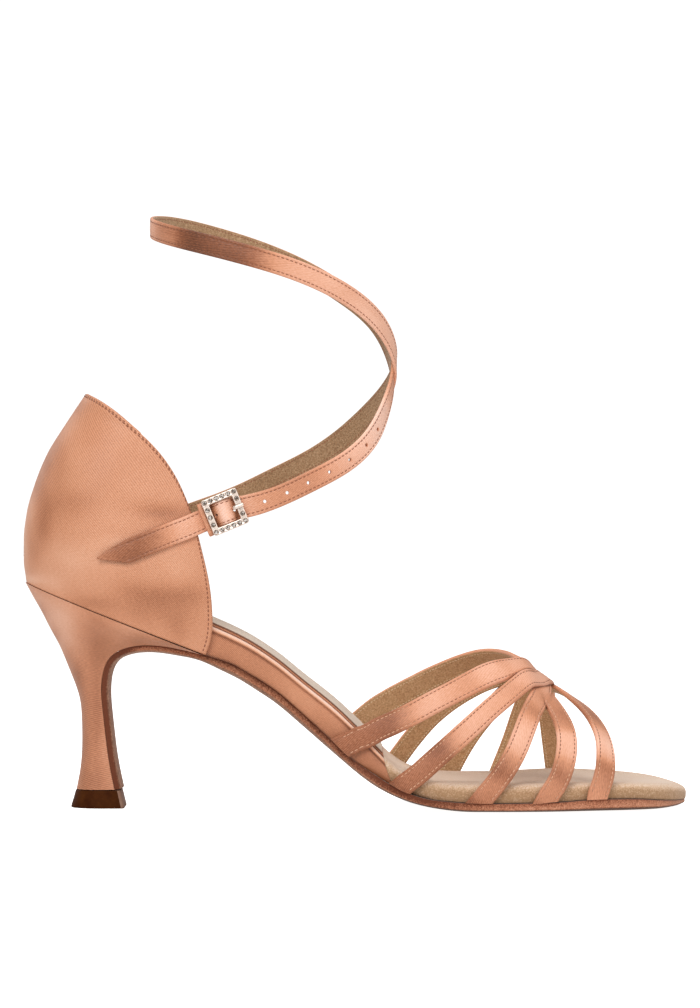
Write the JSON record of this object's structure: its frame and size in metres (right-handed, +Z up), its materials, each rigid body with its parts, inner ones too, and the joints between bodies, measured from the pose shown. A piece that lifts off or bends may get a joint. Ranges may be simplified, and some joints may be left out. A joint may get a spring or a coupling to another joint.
{
  "type": "latin dance shoe",
  "caption": "Open-toe satin latin dance sandal with a flared heel, woven toe straps, a closed back and a crossed, buckled ankle strap.",
  "frame": {"origin": "centre of the heel tip's foot face, on the floor", "axes": "+X towards the toe, +Y towards the inner (medial) side of the foot, +Z up"},
  "size_m": [0.2259, 0.081, 0.2017],
  "materials": {
    "satin": "peach satin with a fine twill and a soft sheen",
    "sole_suede": "brushed pinkish-brown suede",
    "insole_suede": "tan suede",
    "sock": "matt beige lining",
    "tip_plastic": "dark brown hard plastic",
    "buckle_metal": "rose-white plated metal set with clear stones"
  },
  "bodies": {
    "root": {"outsole": "sole_suede", "heel": "satin", "heel_tip": "tip_plastic", "insole_board": "satin", "insole_forefoot": "insole_suede", "sock_lining": "sock", "heel_counter": "satin", "vamp_straps": "satin", "ankle_strap": "satin", "buckle_tab": "satin", "buckle_frame": "buckle_metal", "buckle_prong": "buckle_metal", "strap_keeper": "satin"}
  },
  "joints": []
}
